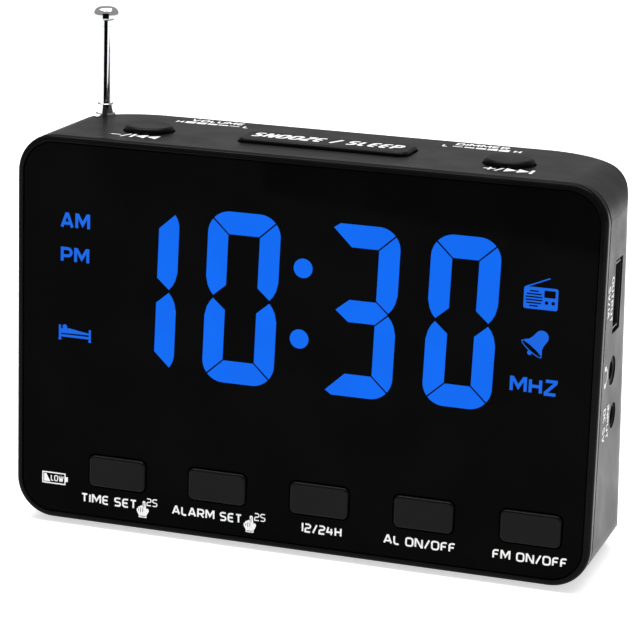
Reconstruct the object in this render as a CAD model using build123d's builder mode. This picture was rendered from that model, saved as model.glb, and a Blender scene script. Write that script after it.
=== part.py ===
from build123d import *
import os
from math import atan2, cos, radians, sin

os.makedirs("parts", exist_ok=True)

# A clock radio. The origin is at the middle of its footprint, on the surface that it stands on.
# +X is to the right as the display is read, +Y goes to the back, +Z is up.
# Depths are measured back from the seam between bezel and housing, heights from the case's underside.

# Case
CASE_W = 121.0
CASE_H = 80.0
CORNER_R = 8.0
REAR_EDGE_R = 20.0
REAR_FILLET = 4.0
EDGE_BEVEL = 0.3
OUTLINE_EASE = 0.04
DEPTH_BOTTOM = 42.0
DEPTH_TOP = 32.0
BEZEL_D = 2.2
SEAM_GAP = 0.4
WALL = 1.8
FOOT_H = 1.0
BUTTON_PROUD = 0.6
LENS_DROP = 0.2
LENS_T = 1.4
FRONT_DEPTH = -(BEZEL_D - LENS_DROP + BUTTON_PROUD)
SLOPE = (DEPTH_BOTTOM - DEPTH_TOP) / CASE_H
TILT = atan2(DEPTH_BOTTOM - DEPTH_TOP, CASE_H)
REAR_MOST = DEPTH_BOTTOM - REAR_FILLET * (SLOPE + 1 / cos(TILT) - 1)
SEAM_Y = -(REAR_MOST + FRONT_DEPTH) / 2
REAR_NORMAL = Vector(0, cos(TILT), sin(TILT))

# Bezel and lens
RIM_W = 1.3
LIP_CLEAR = 0.15
LIP_T = 1.2
LIP_END = 2.6
PLATE_BACK = 1.0
LENS_FRONT = -(BEZEL_D - LENS_DROP)
LENS_BACK = LENS_FRONT + LENS_T
WINDOWS = ((0, 51.3, 82.0, 39.6), (0, 50.5, 110.0, 32.0))

# Front buttons
FRONT_BUTTONS = (
    "time_set_button", "alarm_set_button", "hour_format_button", "alarm_button", "radio_button",
)
BUTTON_PITCH = 21.65
BUTTON_MID_X = 5.3
BUTTON_HEIGHT = 11.3
BUTTON_W = 12.2
BUTTON_H = 6.6
BUTTON_R = 1.2
BUTTON_GAP = 0.3
FLANGE_SIDE = 1.0
FLANGE_T = 0.8
FLANGE_FRONT = 1.15
STEM_END = 2.4

# Top buttons
SNOOZE_L = 35.2
SNOOZE_W = 9.6
SNOOZE_DEPTH = 12.5
SNOOZE_PROUD = 0.9
ROUND_X = 37.5
ROUND_DEPTH = 11.3
ROUND_R = 5.0
ROUND_PROUD = 1.2
TOP_GAP = 0.3
TOP_FLANGE = 77.25
TOP_STEM_END = 75.1
TACT = 5.0

# Boards
DISPLAY_BOARD = (5.2, 6.4)
MAIN_BOARD = (14.9, 16.5)
KEY_BOARD = (70.6, 71.8)
WHEEL_BOARD = (55.0, 56.2)
BOARD_POSTS = ((-41.0, 56.0), (-41.0, 38.0), (6.0, 45.0), (54.0, 24.0), (54.0, 55.0))
KEY_POST_X = (-24.0, 24.0)
POST_R = 2.2
PILOT_R = 0.9
LEDGE_X = (-33.0, 3.0, 33.0)
REFLECTOR_FRONT = 1.1
SEGMENT_T = 1.6
CAVITY_MARGIN = 0.6

# Display
DIGIT_X = (-32.7, -12.4, 12.7, 32.9)
DIGIT_W = 15.0
DIGIT_LOW = 33.3
DIGIT_H = 35.0
SEGMENT_W = 4.3
SEGMENT_GAP = 0.25
DIGIT_SLANT = radians(1.6)
COLON_HEIGHTS = (44.2, 58.5)
ICON_WINDOWS = (
    (-47.9, 62.9, 6.8, 3.8),
    (-47.9, 55.9, 6.8, 3.8),
    (-47.8, 39.6, 7.4, 3.8),
    (48.3, 58.0, 7.2, 6.4),
    (48.0, 48.5, 6.4, 6.2),
    (47.7, 39.8, 9.8, 3.8),
)

# Thumbwheels
WHEEL_X = 28.0
WHEEL_DEPTH = 27.2
WHEEL_R = 8.0
WHEEL_LOW = 63.9
WHEEL_T = 3.6
WHEEL_TEETH = 40
WHEEL_SLOT_HALF = 7.3
SHAFT_R = 1.7
SHAFT_CLEAR = 0.05
SHAFT_LOW = 57.5
POT_TOP = 62.5

# Side sockets: depth and height of each
USB = (9.95, 56.7)
USB_SLOT = (6.3, 14.5)
USB_SHELL = (5.7, 13.1)
USB_LENGTH = 12.0
JACK = (8.9, 41.8)
JACK_HOLE_R = 2.9
JACK_BORE_R = 1.8
JACK_LENGTH = 14.0
INLET = (11.7, 32.0)
INLET_HOLE_R = 2.6
INLET_BORE = 9.5
SOCKET_FACE = CASE_W / 2 - 0.3

# Speaker
SPEAKER_X = 25.8
SPEAKER_HEIGHT = 34.8
GRILLE_R = 13.0
SLOT_COUNT = 8
SLOT_PITCH = 3.3
SLOT_W = 1.6

# Battery compartment, on the sloping back
BAY_X = -17.4
BAY_HEIGHT = 18.5
BAY_W = 49.0
BAY_H = 22.2
BAY_DEEP = 11.2
DOOR_W = 53.0
DOOR_H = 26.2
DOOR_GAP = 0.25
DOOR_T = 1.6
DOOR_SEAT = 1.8
TRAY_WALL = 1.3
CELL_R = 5.2
CELL_L = 43.5
CELL_ROW = 5.4
CELL_INSET = WALL + 0.35 + CELL_R
CONTACT_T = 0.4
SPRING_R = 2.6
SPRING_WIRE = 0.3

# Antenna
ANTENNA_X = -51.8
ANTENNA_DEPTH = 22.4
TUBE_R = 1.4
TUBE_TOP = 98.8
TUBE_BOTTOM = 29.4
TUBE_WALL = 0.28
SLIDE_CLEAR = 0.05
COLLAR_R = 1.7
COLLAR_TOP = 82.8
FLANGE_R = 2.1
FLANGE_TOP = 80.65
NECK_R = 1.9
FLANGE_LOW = 79.2
NECK_LOW = 74.8
NUT_H = 1.6
STOP_R = 1.7
TIP_R = 2.6
TIP_LOW = 100.1
TIP_TOP = 102.7

# Case screws: x and height of each
CASE_SCREWS = ((-44.0, 70.5), (44.0, 70.5), (-50.0, 5.0), (50.0, 5.0))
BOSS_R = 2.4
BOSS_END = 9.0
SCREW_R = 1.1
SCREW_SEAT = 13.0
SCREW_HEAD_R = 2.4
TOWER_R = 3.6

# Feet: x and depth of each
FEET = ((-46.0, 7.0), (46.0, 7.0), (-46.0, 30.0), (46.0, 30.0))
FOOT_R = 4.0
FOOT_SUNK = 0.5


def spot(x, depth, height):
    """A point given by its depth behind the seam and its height above the case's underside."""
    return (x, SEAM_Y + depth, FOOT_H + height)


def facing_plane(depth):
    """An upright plane at a depth: local x is X, local y is height, and its normal faces the front."""
    return Plane(origin=spot(0, depth, 0), x_dir=(1, 0, 0), z_dir=(0, -1, 0))


def level_plane(height):
    """A level plane at a height: local x is X and local y is depth."""
    return Plane(origin=spot(0, 0, height), x_dir=(1, 0, 0), z_dir=(0, 0, 1))


def side_plane(x):
    """An upright plane across X: local x is depth, local y is height, and its normal faces +X."""
    return Plane(origin=spot(x, 0, 0), x_dir=(0, 1, 0), z_dir=(1, 0, 0))


def rear_plane(x, height, inset=0.0):
    """A plane on the sloping back, inset from its surface: local y runs up the slope."""
    depth = DEPTH_BOTTOM - height * SLOPE
    origin = Vector(*spot(x, depth, height)) - REAR_NORMAL * inset
    return Plane(origin=origin, x_dir=(-1, 0, 0), z_dir=REAR_NORMAL)


def block(low, high, mode=Mode.ADD):
    """A box between two corners, each given as x, depth and height."""
    middle = [(a + b) / 2 for a, b in zip(low, high)]
    size = [b - a for a, b in zip(low, high)]
    with Locations(spot(*middle)):
        Box(*size, mode=mode)


def disc(plane, radius, amount, mode=Mode.ADD, at=(0, 0)):
    """A round extrusion from a plane."""
    with BuildSketch(plane) as profile:
        with Locations(at):
            Circle(radius)
    extrude(profile.sketch, amount=amount, mode=mode)


def plate(plane, width, height, radius, amount, mode=Mode.ADD, at=(0, 0)):
    """A rounded rectangular extrusion from a plane."""
    with BuildSketch(plane) as profile:
        with Locations(at):
            RectangleRounded(width, height, radius)
    extrude(profile.sketch, amount=amount, mode=mode)


def write(piece, name):
    """Label a finished piece and write its STEP file."""
    piece.part.label = name
    export_step(piece.part, f"parts/{name}.step")


def case_shape(inset, start, bevel=0.0):
    """The housing's outer form, shrunk by inset, from a start depth to the back."""
    low = inset
    high = CASE_H - inset
    back = DEPTH_BOTTOM - inset / cos(TILT)
    with BuildPart() as shape:
        with BuildSketch(side_plane(0)):
            rear_low = (back - low * SLOPE, low)
            rear_high = (back - high * SLOPE, high)
            Polygon((start, low), rear_low, rear_high, (start, high), align=None)
        extrude(amount=CASE_W / 2 - inset, both=True)
        fillet(shape.edges().filter_by(Axis.X, reverse=True).group_by(Axis.Y)[-1], REAR_EDGE_R - inset)
        for side in (0, -1):
            face = shape.faces().sort_by(Axis.Z)[side]
            fillet(face.edges().sort_by(Axis.Y)[1:], REAR_FILLET - inset)
        with BuildSketch(facing_plane(start)) as section:
            with Locations((0, CASE_H / 2)):
                wide = CASE_W - 2 * inset + OUTLINE_EASE
                tall = CASE_H - 2 * inset + OUTLINE_EASE
                RectangleRounded(wide, tall, CORNER_R - inset)
        extrude(section.sketch, amount=-(DEPTH_BOTTOM + 4), mode=Mode.INTERSECT)
        if bevel:
            chamfer(shape.edges().group_by(Axis.Y)[0], bevel)
    return shape.part


def outline(plane, inset, amount, mode=Mode.ADD):
    """The case's front outline, shrunk by inset."""
    plate(plane, CASE_W - 2 * inset, CASE_H - 2 * inset, CORNER_R - inset, amount, mode, (0, CASE_H / 2))


def button_x(index):
    """The x of a front button, counted from the left."""
    return BUTTON_MID_X + (index - 2) * BUTTON_PITCH


def cut_button_openings(start, amount):
    """Five rounded openings for the front buttons."""
    for index in range(len(FRONT_BUTTONS)):
        width = BUTTON_W + 2 * BUTTON_GAP
        height = BUTTON_H + 2 * BUTTON_GAP
        place = (button_x(index), BUTTON_HEIGHT)
        plate(facing_plane(start), width, height, BUTTON_R + BUTTON_GAP, amount, Mode.SUBTRACT, place)


def segment_outlines(center):
    """The seven six-sided segments of one digit, as lists of (x, height), leaning with the digit."""
    half = DIGIT_W / 2 - SEGMENT_W / 2
    low = DIGIT_LOW + SEGMENT_W / 2
    high = DIGIT_LOW + DIGIT_H - SEGMENT_W / 2
    middle = (low + high) / 2
    tip = SEGMENT_W / 2
    across = [((-half, h), (half, h)) for h in (low, middle, high)]
    upright = [((x, a), (x, b)) for x in (-half, half) for a, b in ((low, middle), (middle, high))]
    outlines = []
    for (x0, h0), (x1, h1) in across:
        a, b = x0 + SEGMENT_GAP, x1 - SEGMENT_GAP
        outlines.append([(a, h0), (a + tip, h0 + tip), (b - tip, h0 + tip), (b, h0), (b - tip, h0 - tip),
                         (a + tip, h0 - tip)])
    for (x0, h0), (x1, h1) in upright:
        a, b = h0 + SEGMENT_GAP, h1 - SEGMENT_GAP
        outlines.append([(x0, a), (x0 + tip, a + tip), (x0 + tip, b - tip), (x0, b), (x0 - tip, b - tip),
                         (x0 - tip, a + tip)])
    lean = sin(DIGIT_SLANT)
    return [[(center + x + (h - middle) * lean, h) for x, h in points] for points in outlines]


def display_faces(shrink):
    """Every digit segment, colon dot and icon window, shrunk by a margin, in the open sketch."""
    for center in DIGIT_X:
        for points in segment_outlines(center):
            with BuildSketch(mode=Mode.PRIVATE) as segment:
                Polygon(*points, align=None)
                offset(amount=-shrink, kind=Kind.INTERSECTION)
            add(segment.sketch)
    for height in COLON_HEIGHTS:
        with Locations((0.3, height)):
            Circle(2.0 - shrink)
    for x, height, width, tall in ICON_WINDOWS:
        with Locations((x, height)):
            Rectangle(width - 2 * shrink, tall - 2 * shrink)


# ---------------------------------------------------------------- case

with BuildPart() as front_bezel:
    outline(facing_plane(0), 0, BEZEL_D)
    fillet(front_bezel.edges().group_by(Axis.Y)[0], 1.1)
    outline(facing_plane(LIP_END), WALL + LIP_CLEAR, LIP_END)
    outline(facing_plane(LENS_BACK), RIM_W, BEZEL_D, Mode.SUBTRACT)
    outline(facing_plane(LIP_END), WALL + LIP_CLEAR + LIP_T, LIP_END - PLATE_BACK, Mode.SUBTRACT)
    for x, height, width, tall in WINDOWS:
        plate(facing_plane(PLATE_BACK), width, tall, 1, 4, Mode.SUBTRACT, (x, height))
    cut_button_openings(PLATE_BACK, 4)
    for place in CASE_SCREWS:
        disc(facing_plane(BOSS_END), BOSS_R, BOSS_END - PLATE_BACK + 0.5, at=place)
        disc(facing_plane(BOSS_END), SCREW_R, BOSS_END - 1.5, Mode.SUBTRACT, at=place)
write(front_bezel, "front_bezel")

with BuildPart() as display_lens:
    outline(facing_plane(LENS_BACK), RIM_W + 0.1, LENS_T)
    chamfer(display_lens.edges().group_by(Axis.Y)[0], 0.2)
    cut_button_openings(LENS_BACK, LENS_T)
write(display_lens, "display_lens")

with BuildPart() as screw_towers:
    for place in CASE_SCREWS:
        disc(facing_plane(BOSS_END + 0.2), BOSS_R + 0.3, -6, at=place)
        disc(facing_plane(SCREW_SEAT - 1.5), TOWER_R, -40, at=place)
    for place in BOARD_POSTS:
        disc(facing_plane(MAIN_BOARD[1]), POST_R, -40, at=place)
    for x in LEDGE_X:
        block((x - 1.2, 20, 53.2), (x + 1.2, 45, WHEEL_BOARD[0]))
    nut_seat = NECK_LOW + NUT_H
    disc(level_plane(nut_seat), NECK_R + 1.5, CASE_H - nut_seat, at=(ANTENNA_X, ANTENNA_DEPTH))
    add(case_shape(WALL / 2, -1.0), mode=Mode.INTERSECT)

with BuildPart() as rear_housing:
    add(case_shape(0, SEAM_GAP, EDGE_BEVEL))
    add(case_shape(WALL, -1.0), mode=Mode.SUBTRACT)
    add(screw_towers.part)
    for x in KEY_POST_X:
        disc(level_plane(KEY_BOARD[1]), POST_R, CASE_H - KEY_BOARD[1] - 1, at=(x, SNOOZE_DEPTH))
    tray_size = (DOOR_W + 2 * TRAY_WALL, DOOR_H + 2 * TRAY_WALL)
    plate(rear_plane(BAY_X, BAY_HEIGHT, 0.5), *tray_size, 2, -(WALL + BAY_DEEP + TRAY_WALL - 0.5))
    recess = (DOOR_W + 2 * DOOR_GAP, DOOR_H + 2 * DOOR_GAP)
    plate(rear_plane(BAY_X, BAY_HEIGHT, -1), *recess, 1.5, -(1 + DOOR_SEAT), Mode.SUBTRACT)
    plate(rear_plane(BAY_X, BAY_HEIGHT), BAY_W, BAY_H, 0.5, -(WALL + BAY_DEEP), Mode.SUBTRACT)
    for place in CASE_SCREWS:
        disc(facing_plane(BOSS_END), SCREW_R + 0.3, -40, Mode.SUBTRACT, at=place)
        disc(facing_plane(SCREW_SEAT), SCREW_HEAD_R + 0.3, -40, Mode.SUBTRACT, at=place)
    for place in BOARD_POSTS:
        disc(facing_plane(MAIN_BOARD[1] - 0.5), PILOT_R, -6, Mode.SUBTRACT, at=place)
    for x in KEY_POST_X:
        disc(level_plane(KEY_BOARD[1] - 0.5), PILOT_R, 5, Mode.SUBTRACT, at=(x, SNOOZE_DEPTH))
    snooze_hole = (SNOOZE_L + 2 * TOP_GAP, SNOOZE_W + 2 * TOP_GAP)
    plate(level_plane(CASE_H - 4), *snooze_hole, 2.3, 8, Mode.SUBTRACT, (0, SNOOZE_DEPTH))
    for x in (-ROUND_X, ROUND_X):
        disc(level_plane(CASE_H - 4), ROUND_R + TOP_GAP, 8, Mode.SUBTRACT, (x, ROUND_DEPTH))
    disc(level_plane(NECK_LOW), NECK_R + 0.05, 8, Mode.SUBTRACT, (ANTENNA_X, ANTENNA_DEPTH))
    disc(level_plane(FLANGE_LOW), FLANGE_R + 0.05, 2, Mode.SUBTRACT, (ANTENNA_X, ANTENNA_DEPTH))
    plate(side_plane(CASE_W / 2 - 5), *USB_SLOT, 0.6, 10, Mode.SUBTRACT, USB)
    disc(side_plane(CASE_W / 2 - 5), JACK_HOLE_R, 10, Mode.SUBTRACT, JACK)
    disc(side_plane(CASE_W / 2 - 5), INLET_HOLE_R, 10, Mode.SUBTRACT, INLET)
    for x in (-WHEEL_X, WHEEL_X):
        low = (x - WHEEL_SLOT_HALF, 29, WHEEL_LOW - 0.4)
        block(low, (x + WHEEL_SLOT_HALF, 45, WHEEL_LOW + WHEEL_T + 0.4), Mode.SUBTRACT)
    with BuildSketch(rear_plane(SPEAKER_X, SPEAKER_HEIGHT, -1)):
        for row in range(SLOT_COUNT):
            rise = (row - (SLOT_COUNT - 1) / 2) * SLOT_PITCH
            with Locations((0, rise)):
                SlotOverall(2 * (GRILLE_R**2 - rise**2) ** 0.5, SLOT_W)
    extrude(amount=-(WALL + 2), mode=Mode.SUBTRACT)
    for place in FEET:
        disc(level_plane(-1), FOOT_R + 0.1, 1 + FOOT_SUNK, Mode.SUBTRACT, place)
write(rear_housing, "rear_housing")

with BuildPart() as rubber_feet:
    for place in FEET:
        disc(level_plane(-FOOT_H), FOOT_R, FOOT_H + FOOT_SUNK, at=place)
    fillet(rubber_feet.edges().group_by(Axis.Z)[0], 0.3)
write(rubber_feet, "rubber_feet")

with BuildPart() as case_screws:
    for place in CASE_SCREWS:
        disc(facing_plane(SCREW_SEAT), SCREW_R, SCREW_SEAT - 2, at=place)
        disc(facing_plane(SCREW_SEAT), SCREW_HEAD_R, -2, at=place)
    with BuildSketch(facing_plane(SCREW_SEAT + 2)):
        with Locations(*CASE_SCREWS):
            Rectangle(3.2, 0.7)
            Rectangle(0.7, 3.2)
    extrude(amount=0.9, mode=Mode.SUBTRACT)
write(case_screws, "case_screws")

# ---------------------------------------------------------------- buttons

for index, name in enumerate(FRONT_BUTTONS):
    place = (button_x(index), BUTTON_HEIGHT)
    with BuildPart() as button:
        cap_back = FLANGE_FRONT + 0.1
        plate(facing_plane(cap_back), BUTTON_W, BUTTON_H, BUTTON_R, cap_back - FRONT_DEPTH, at=place)
        fillet(button.edges().group_by(Axis.Y)[0], 0.5)
        flange_back = FLANGE_FRONT + FLANGE_T
        plate(facing_plane(flange_back), BUTTON_W + 2 * FLANGE_SIDE, BUTTON_H, 1, FLANGE_T, at=place)
        disc(facing_plane(STEM_END), 1.6, STEM_END - FLANGE_FRONT, at=place)
    write(button, name)

with BuildPart() as snooze_bar:
    bar_h = CASE_H + SNOOZE_PROUD - TOP_FLANGE
    plate(level_plane(TOP_FLANGE), SNOOZE_L, SNOOZE_W, 2, bar_h, at=(0, SNOOZE_DEPTH))
    fillet(snooze_bar.edges().group_by(Axis.Z)[-1], 0.6)
    flange = (SNOOZE_L + 2 * FLANGE_SIDE, SNOOZE_W + 2 * FLANGE_SIDE)
    plate(level_plane(TOP_FLANGE), *flange, 2, FLANGE_T, at=(0, SNOOZE_DEPTH))
    disc(level_plane(TOP_STEM_END), 1.8, TOP_FLANGE - TOP_STEM_END + 0.2, at=(0, SNOOZE_DEPTH))
write(snooze_bar, "snooze_bar")

for name, x in (("minus_button", -ROUND_X), ("plus_button", ROUND_X)):
    place = (x, ROUND_DEPTH)
    with BuildPart() as button:
        disc(level_plane(TOP_FLANGE), ROUND_R, CASE_H + ROUND_PROUD - TOP_FLANGE, at=place)
        fillet(button.edges().group_by(Axis.Z)[-1], 0.7)
        disc(level_plane(TOP_FLANGE), ROUND_R + FLANGE_SIDE, FLANGE_T, at=place)
        disc(level_plane(TOP_STEM_END), 1.8, TOP_FLANGE - TOP_STEM_END + 0.2, at=place)
    write(button, name)

# ---------------------------------------------------------------- display

with BuildPart() as display_board:
    block((-56, DISPLAY_BOARD[0], 8.3), (56, DISPLAY_BOARD[1], 66.5))
    block((-40, DISPLAY_BOARD[0], 60), (40, DISPLAY_BOARD[1], 71))
write(display_board, "display_board")

with BuildPart() as display_reflector:
    block((-54, REFLECTOR_FRONT, 35.2), (54, DISPLAY_BOARD[0], 66))
    block((-40.5, REFLECTOR_FRONT, 32), (40.5, DISPLAY_BOARD[0], 70.6))
    with BuildSketch(facing_plane(DISPLAY_BOARD[0])):
        display_faces(CAVITY_MARGIN)
    extrude(amount=DISPLAY_BOARD[0] - REFLECTOR_FRONT, mode=Mode.SUBTRACT)
write(display_reflector, "display_reflector")

with BuildPart() as display_segments:
    with BuildSketch(facing_plane(REFLECTOR_FRONT)):
        display_faces(0.0)
    extrude(amount=SEGMENT_T)
write(display_segments, "display_segments")

with BuildPart() as display_leds:
    lamps = [(x, height) for x, height, width, tall in ICON_WINDOWS]
    lamps += [(0.3, height) for height in COLON_HEIGHTS]
    for center in DIGIT_X:
        for points in segment_outlines(center):
            lamps.append((sum(x for x, h in points) / 6, sum(h for x, h in points) / 6))
    with BuildSketch(facing_plane(DISPLAY_BOARD[0])):
        with Locations(*lamps):
            Rectangle(1.6, 1.2)
    extrude(amount=0.7)
write(display_leds, "display_leds")

with BuildPart() as front_switches:
    for index in range(len(FRONT_BUTTONS)):
        place = (button_x(index), BUTTON_HEIGHT)
        plate(facing_plane(DISPLAY_BOARD[0]), 6, 6, 0.3, 1.7, at=place)
        disc(facing_plane(DISPLAY_BOARD[0] - 1.7), 1.5, 0.2, at=place)
write(front_switches, "front_switches")

# ---------------------------------------------------------------- boards and what is on them

with BuildPart() as main_board:
    block((-45, MAIN_BOARD[0], 20), (57.5, MAIN_BOARD[1], 62.8))
    for place in BOARD_POSTS:
        disc(facing_plane(MAIN_BOARD[1]), PILOT_R + 0.3, 2, Mode.SUBTRACT, place)
write(main_board, "main_board")

with BuildPart() as board_screws:
    for place in BOARD_POSTS:
        disc(facing_plane(MAIN_BOARD[0]), 1.9, 1.1, at=place)
        disc(facing_plane(MAIN_BOARD[0]), PILOT_R, -6, at=place)
    for x in KEY_POST_X:
        disc(level_plane(KEY_BOARD[0]), 1.9, -1.1, at=(x, SNOOZE_DEPTH))
        disc(level_plane(KEY_BOARD[0]), PILOT_R, 5, at=(x, SNOOZE_DEPTH))
write(board_screws, "board_screws")

# x, height, width, tallness and thickness of each
CHIPS = {
    "control_chip": (-14, 46, 14, 14, 1.6),
    "tuner_chip": (-33, 50, 10, 6.5, 1.5),
    "amplifier_chip": (20, 27, 9, 6.5, 1.5),
}
for name, (x, height, width, tall, thick) in CHIPS.items():
    with BuildPart() as chip:
        plate(facing_plane(MAIN_BOARD[0]), width, tall, 0.3, thick, at=(x, height))
        corner = (x - width / 2 + 1.2, height + tall / 2 - 1.2)
        disc(facing_plane(MAIN_BOARD[0] - thick), 0.4, -0.2, Mode.SUBTRACT, corner)
    write(chip, name)

with BuildPart() as capacitors:
    for place in ((8, 54), (16, 54), (31, 27), (39, 27)):
        disc(facing_plane(MAIN_BOARD[0]), 3.15, 7, at=place)
    fillet(capacitors.edges().group_by(Axis.Y)[0], 0.4)
write(capacitors, "capacitors")

with BuildPart() as crystal:
    plate(facing_plane(MAIN_BOARD[0]), 11, 4.6, 2.2, 3.5, at=(-13, 32))
write(crystal, "crystal")

with BuildPart() as tuning_coil:
    disc(facing_plane(MAIN_BOARD[0]), 3.6, 5, at=(-33, 38))
    disc(facing_plane(MAIN_BOARD[0]), 2.0, 5, Mode.SUBTRACT, (-33, 38))
write(tuning_coil, "tuning_coil")

with BuildPart() as ribbon_cable:
    block((-6, DISPLAY_BOARD[1], 24), (12, MAIN_BOARD[0], 24.8))
write(ribbon_cable, "ribbon_cable")

with BuildPart() as key_board:
    block((-39.8, 7.4, KEY_BOARD[0]), (39.8, 17.5, KEY_BOARD[1]))
    for x in KEY_POST_X:
        disc(level_plane(KEY_BOARD[0]), PILOT_R + 0.3, 2, Mode.SUBTRACT, (x, SNOOZE_DEPTH))
write(key_board, "key_board")

with BuildPart() as key_switches:
    for place in ((0, SNOOZE_DEPTH), (-ROUND_X, ROUND_DEPTH), (ROUND_X, ROUND_DEPTH)):
        plate(level_plane(KEY_BOARD[1]), TACT, TACT, 0.3, 2.1, at=place)
        disc(level_plane(KEY_BOARD[1] + 2.1), 1.7, 0.15, at=place)
write(key_switches, "key_switches")

with BuildPart() as wheel_board:
    block((-36, 18.5, WHEEL_BOARD[0]), (36, 32.2, WHEEL_BOARD[1]))
write(wheel_board, "wheel_board")

for name, x in (("volume", -WHEEL_X), ("dimmer", WHEEL_X)):
    place = (x, WHEEL_DEPTH)
    with BuildPart() as wheel:
        disc(level_plane(WHEEL_LOW), WHEEL_R, WHEEL_T, at=place)
        chamfer(wheel.edges().filter_by(GeomType.CIRCLE), 0.4)
        disc(level_plane(WHEEL_LOW - 1), SHAFT_R + 1.6, 1.5, at=place)
        disc(level_plane(WHEEL_LOW - 1), SHAFT_R, WHEEL_T, Mode.SUBTRACT, place)
        with BuildSketch(level_plane(WHEEL_LOW)):
            with Locations(place):
                with PolarLocations(WHEEL_R + 0.1, WHEEL_TEETH):
                    Circle(0.4)
        extrude(amount=WHEEL_T, mode=Mode.SUBTRACT)
    write(wheel, f"{name}_wheel")
    with BuildPart() as shaft:
        disc(level_plane(SHAFT_LOW), SHAFT_R, WHEEL_LOW - 1 + WHEEL_T - SHAFT_LOW, at=place)
    write(shaft, f"{name}_shaft")
    with BuildPart() as pot:
        low = (x - 4.9, WHEEL_DEPTH - 4.6, WHEEL_BOARD[1])
        block(low, (x + 4.9, WHEEL_DEPTH + 4.6, POT_TOP))
        bore = POT_TOP - SHAFT_LOW + 0.1
        disc(level_plane(POT_TOP), SHAFT_R + SHAFT_CLEAR, -bore, Mode.SUBTRACT, place)
    write(pot, f"{name}_pot")

# ---------------------------------------------------------------- side sockets

usb_depth, usb_height = USB
usb_back = SOCKET_FACE - USB_LENGTH
with BuildPart() as usb_socket:
    plate(side_plane(usb_back), *USB_SHELL, 0.4, USB_LENGTH, at=USB)
    shell_inside = (USB_SHELL[0] - 0.6, USB_SHELL[1] - 0.6)
    plate(side_plane(usb_back + 0.3), *shell_inside, 0.2, USB_LENGTH, Mode.SUBTRACT, USB)
    for x in (usb_back + 1, SOCKET_FACE - 4):
        for rise in (-5.5, 4.7):
            low = (x, usb_depth + USB_SHELL[0] / 2 - 0.1, usb_height + rise)
            block(low, (x + 1.6, MAIN_BOARD[0], usb_height + rise + 0.8))
write(usb_socket, "usb_socket")

tongue_depth = usb_depth + 0.9
tongue_t = 1.9
with BuildPart() as usb_tongue:
    plate(side_plane(usb_back + 0.3), 4.9, 12.3, 0.2, 1.5, at=USB)
    tongue_l = USB_LENGTH - 2.8
    plate(side_plane(usb_back + 0.3), tongue_t, 11.1, 0.3, tongue_l, at=(tongue_depth, usb_height))
write(usb_tongue, "usb_tongue")

with BuildPart() as usb_contacts:
    face = tongue_depth - tongue_t / 2
    for rise in (-3.5, -1.25, 1.25, 3.5):
        low = (usb_back + 2, face - 0.15, usb_height + rise - 0.6)
        block(low, (SOCKET_FACE - 3.4, face, usb_height + rise + 0.6))
write(usb_contacts, "usb_contacts")

body_face = CASE_W / 2 - WALL - 0.1
with BuildPart() as headphone_jack:
    jack_back = SOCKET_FACE - JACK_LENGTH
    block((jack_back - 1, 6.6, JACK[1] - 3.8), (body_face, MAIN_BOARD[0], JACK[1] + 3.8))
    disc(side_plane(body_face), JACK_HOLE_R - 0.2, SOCKET_FACE - body_face, at=JACK)
    disc(side_plane(jack_back), JACK_BORE_R, JACK_LENGTH, Mode.SUBTRACT, JACK)
write(headphone_jack, "headphone_jack")

with BuildPart() as power_inlet:
    block((SOCKET_FACE - 11, 8.6, INLET[1] - 4), (body_face, MAIN_BOARD[0], INLET[1] + 4))
    disc(side_plane(body_face), INLET_HOLE_R - 0.2, SOCKET_FACE - body_face, at=INLET)
    disc(side_plane(SOCKET_FACE - INLET_BORE), 1.95, INLET_BORE, Mode.SUBTRACT, INLET)
write(power_inlet, "power_inlet")

with BuildPart() as inlet_pin:
    disc(side_plane(SOCKET_FACE - INLET_BORE), 0.65, INLET_BORE - 0.8, at=INLET)
    fillet(inlet_pin.edges().group_by(Axis.X)[-1], 0.4)
write(inlet_pin, "inlet_pin")

# ---------------------------------------------------------------- speaker

speaker_mount = rear_plane(SPEAKER_X, SPEAKER_HEIGHT, WALL)
speaker_axis = Axis(speaker_mount.origin, REAR_NORMAL)
speaker_section = Plane(origin=speaker_mount.origin, x_dir=(1, 0, 0), z_dir=(0, sin(TILT), -cos(TILT)))

# Each section is drawn as distance from the axis and distance in from the back wall.
with BuildPart() as speaker_frame:
    with BuildSketch(speaker_section):
        Polygon((13.6, 0), (16, 0), (16, 1), (14.6, 1), (9.6, 7), (9.6, 7.8), (3.2, 7.8), (3.2, 7.1),
                (8.9, 7.1), (8.9, 6.6), (13.6, 0.9), align=None)
    revolve(axis=speaker_axis)
write(speaker_frame, "speaker_frame")

with BuildPart() as speaker_cone:
    with BuildSketch(speaker_section):
        Polygon((0, 3.2), (3, 4.0), (3.4, 5.3), (11, 1.0), (12.2, 0.4), (13.4, 0.3), (13.4, 0.6),
                (12.2, 0.8), (11, 1.5), (3.4, 6), (2.8, 6), (2.6, 4.4), (0, 3.6), align=None)
    revolve(axis=speaker_axis)
write(speaker_cone, "speaker_cone")

with BuildPart() as speaker_magnet:
    with BuildSketch(speaker_section):
        Polygon((0, 7.8), (9, 7.8), (9, 11.8), (8.6, 12.2), (0, 12.2), align=None)
    revolve(axis=speaker_axis)
write(speaker_magnet, "speaker_magnet")

# ---------------------------------------------------------------- batteries

with BuildPart() as battery_door:
    plate(rear_plane(BAY_X, BAY_HEIGHT, 0.05), DOOR_W, DOOR_H, 1.3, -DOOR_T)
    with BuildSketch(rear_plane(BAY_X, BAY_HEIGHT, 0.1)):
        with Locations((0, DOOR_H / 2 - 4.5)):
            with GridLocations(0, 1.8, 1, 4):
                SlotOverall(14, 0.8)
    extrude(amount=0.45)
write(battery_door, "battery_door")


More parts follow.
